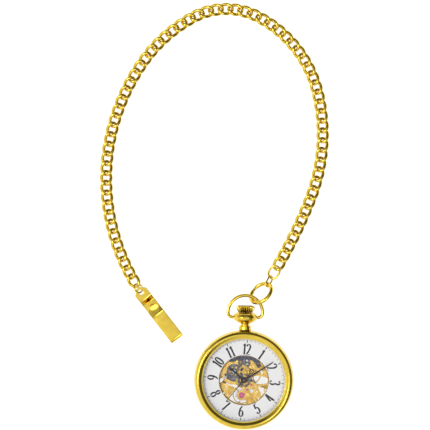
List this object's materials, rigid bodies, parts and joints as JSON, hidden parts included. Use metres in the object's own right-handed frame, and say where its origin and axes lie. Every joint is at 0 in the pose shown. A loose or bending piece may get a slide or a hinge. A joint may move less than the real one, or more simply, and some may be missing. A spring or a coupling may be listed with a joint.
{
  "type": "pocket watch",
  "caption": "Open-face skeleton pocket watch with a hand-wound movement, centre seconds, a bow, a curb chain and a belt clip.",
  "frame": {"origin": "on the hands' axis, in the plane that the case back rests on", "axes": "+Z out of the dial, +Y towards the pendant and crown, +X to the three o'clock side"},
  "size_m": [0.1104, 0.2059, 0.0124],
  "materials": {
    "gold_plate": "polished gold plate",
    "crystal": "clear polished",
    "gasket": "matte",
    "movement_gilt": "gilt, fine brushed",
    "dial_silver": "silvered satin",
    "steel": "polished",
    "dark_steel": "darkened",
    "ruby": "polished jewel",
    "black_hands": "gloss black"
  },
  "bodies": {
    "case": {"case_band": "gold_plate", "case_back": "gold_plate", "rear_crystal": "crystal", "rear_gasket": "gasket", "bezel": "gold_plate", "front_crystal": "crystal", "crystal_gasket": "gasket", "movement_ring": "movement_gilt", "case_screws": "steel", "dial": "dial_silver", "window_ring": "movement_gilt", "pendant": "gold_plate", "pendant_collar": "gold_plate", "click_spring": "steel", "setting_bridge": "dark_steel", "mainplate": "movement_gilt", "barrel_bridge": "movement_gilt", "train_bridge": "movement_gilt", "pallet_bridge": "movement_gilt", "balance_cock": "movement_gilt", "hairspring": "steel", "jewels": "ruby", "bridge_screws": "steel", "connector_link": "gold_plate", "chain_end_link": "gold_plate", "curb_chain": "gold_plate", "clip_ring": "gold_plate"},
    "winder": {"winding_pinion": "steel"},
    "clutch": {"sliding_pinion": "steel"},
    "stem": {"stem": "steel", "crown": "gold_plate"},
    "crown_wheel": {"crown_wheel": "steel"},
    "ratchet": {"ratchet_wheel": "dark_steel", "barrel_arbor": "steel"},
    "click": {"click": "steel"},
    "setting_lever": {"setting_lever": "dark_steel"},
    "yoke": {"yoke": "dark_steel"},
    "minute": {"cannon_pinion": "steel", "minute_hand": "black_hands"},
    "minute_wheel": {"minute_wheel": "movement_gilt"},
    "hour": {"hour_wheel": "steel", "hour_hand": "black_hands"},
    "fourth": {"fourth_wheel": "movement_gilt", "seconds_hand": "black_hands"},
    "third": {"third_wheel": "movement_gilt"},
    "centre": {"centre_wheel": "movement_gilt"},
    "barrel": {"barrel_drum": "movement_gilt", "barrel_cover": "movement_gilt", "mainspring": "dark_steel"},
    "escape": {"escape_wheel": "steel"},
    "pallet": {"pallet_fork": "steel"},
    "balance": {"balance_wheel": "movement_gilt", "balance_staff": "steel"},
    "regulator": {"regulator": "steel"},
    "bow": {"bow": "gold_plate", "ring_clasp": "gold_plate"},
    "bolt": {"ring_bolt": "gold_plate"},
    "clip": {"clip_back": "gold_plate"},
    "leaf": {"clip_leaf": "gold_plate"}
  },
  "joints": [
    {"name": "crown_turn", "type": "hinge", "parent": "case", "child": "winder", "pos_m": [0, 0, 0.0062], "axis": [0, 1, 0], "continuous": true},
    {"name": "crown_pull", "type": "slide", "parent": "winder", "child": "stem", "axis": [0, 1, 0], "range_m": [0, 0.0006]},
    {"name": "clutch_slide", "type": "slide", "parent": "winder", "child": "clutch", "axis": [0, 1, 0], "range_m": [-0.0003, 0]},
    {"name": "lever_tip", "type": "hinge", "parent": "case", "child": "setting_lever", "pos_m": [0.004, 0.0104, 0.007], "axis": [0, 0, 1], "range_deg": [-3, 0]},
    {"name": "yoke_rock", "type": "hinge", "parent": "case", "child": "yoke", "pos_m": [-0.0049, 0.0096, 0.007], "axis": [0, 0, 1], "range_deg": [0, 2.4]},
    {"name": "crown_wheel_turn", "type": "hinge", "parent": "case", "child": "crown_wheel", "pos_m": [0, 0.0085, 0.0074], "axis": [0, 0, 1], "continuous": true},
    {"name": "ratchet_turn", "type": "hinge", "parent": "case", "child": "ratchet", "pos_m": [-0.00483, 0.00405, 0.0074], "axis": [0, 0, 1], "continuous": true},
    {"name": "click_rock", "type": "hinge", "parent": "case", "child": "click", "pos_m": [-0.00918, 0.001, 0.0074], "axis": [0, 0, 1], "range_deg": [0, 8]},
    {"name": "minute_turn", "type": "hinge", "parent": "case", "child": "minute", "pos_m": [0, 0, 0.008], "axis": [0, 0, 1], "continuous": true},
    {"name": "minute_wheel_turn", "type": "hinge", "parent": "case", "child": "minute_wheel", "pos_m": [0.00014, 0.0039, 0.008], "axis": [0, 0, 1], "continuous": true},
    {"name": "hour_turn", "type": "hinge", "parent": "case", "child": "hour", "pos_m": [0, 0, 0.008], "axis": [0, 0, 1], "continuous": true},
    {"name": "seconds_turn", "type": "hinge", "parent": "case", "child": "fourth", "pos_m": [0, 0, 0.0035], "axis": [0, 0, 1], "continuous": true},
    {"name": "third_turn", "type": "hinge", "parent": "case", "child": "third", "pos_m": [0.00409, 0.00236, 0.0038], "axis": [0, 0, 1], "continuous": true},
    {"name": "centre_turn", "type": "hinge", "parent": "case", "child": "centre", "pos_m": [0, 0, 0.0042], "axis": [0, 0, 1], "continuous": true},
    {"name": "barrel_turn", "type": "hinge", "parent": "case", "child": "barrel", "pos_m": [-0.00483, 0.00405, 0.005], "axis": [0, 0, 1], "continuous": true},
    {"name": "escape_turn", "type": "hinge", "parent": "case", "child": "escape", "pos_m": [0.00364, -0.00219, 0.005], "axis": [0, 0, 1], "continuous": true},
    {"name": "pallet_rock", "type": "hinge", "parent": "case", "child": "pallet", "pos_m": [0.00154, -0.0046, 0.005], "axis": [0, 0, 1], "range_deg": [-4, 4]},
    {"name": "balance_swing", "type": "hinge", "parent": "case", "child": "balance", "pos_m": [-0.00083, -0.0073, 0.003], "axis": [0, 0, 1], "range_deg": [-270, 270], "stiffness_Nm_per_rad": 0.0000002, "deforming": ["hairspring"]},
    {"name": "regulator_turn", "type": "hinge", "parent": "case", "child": "regulator", "pos_m": [-0.00083, -0.0073, 0.002], "axis": [0, 0, 1], "range_deg": [-12, 12]},
    {"name": "bow_swing", "type": "hinge", "parent": "case", "child": "bow", "pos_m": [0, 0.0302, 0.0062], "axis": [1, 0, 0], "range_deg": [-90, 90], "deforming": ["connector_link", "chain_end_link", "curb_chain"]},
    {"name": "clasp_open", "type": "hinge", "parent": "bow", "child": "bolt", "pos_m": [0.0074, 0.042, 0.00542], "axis": [-0.5273, 0.5856, 0.6157], "range_deg": [0, 30], "stiffness_Nm_per_rad": 0.0005},
    {"name": "clip_swing", "type": "hinge", "parent": "case", "child": "clip", "pos_m": [-0.05067, 0.04103, 0.0012], "axis": [0, 0, 1], "range_deg": [-25, 25]},
    {"name": "clip_flex", "type": "hinge", "parent": "clip", "child": "leaf", "pos_m": [-0.03325, 0.01969, 0.0027], "axis": [0.7745, 0.6326, 0], "range_deg": [0, 8], "stiffness_Nm_per_rad": 0.5}
  ],
  "couplings": [
    {"joint": "clutch_slide", "follows": "crown_pull", "ratio": -0.5},
    {"joint": "lever_tip", "follows": "crown_pull", "rad_per_m": -87.266},
    {"joint": "yoke_rock", "follows": "crown_pull", "rad_per_m": 69.813},
    {"joint": "crown_wheel_turn", "follows": "crown_turn", "ratio": -0.38889},
    {"joint": "ratchet_turn", "follows": "crown_turn", "ratio": 0.31818},
    {"joint": "minute_wheel_turn", "follows": "minute_turn", "ratio": -0.33333},
    {"joint": "hour_turn", "follows": "minute_turn", "ratio": 0.083333},
    {"joint": "third_turn", "follows": "seconds_turn", "ratio": -0.13333},
    {"joint": "centre_turn", "follows": "seconds_turn", "ratio": 0.016667},
    {"joint": "barrel_turn", "follows": "seconds_turn", "ratio": -0.0020833},
    {"joint": "escape_turn", "follows": "seconds_turn", "ratio": -10}
  ]
}
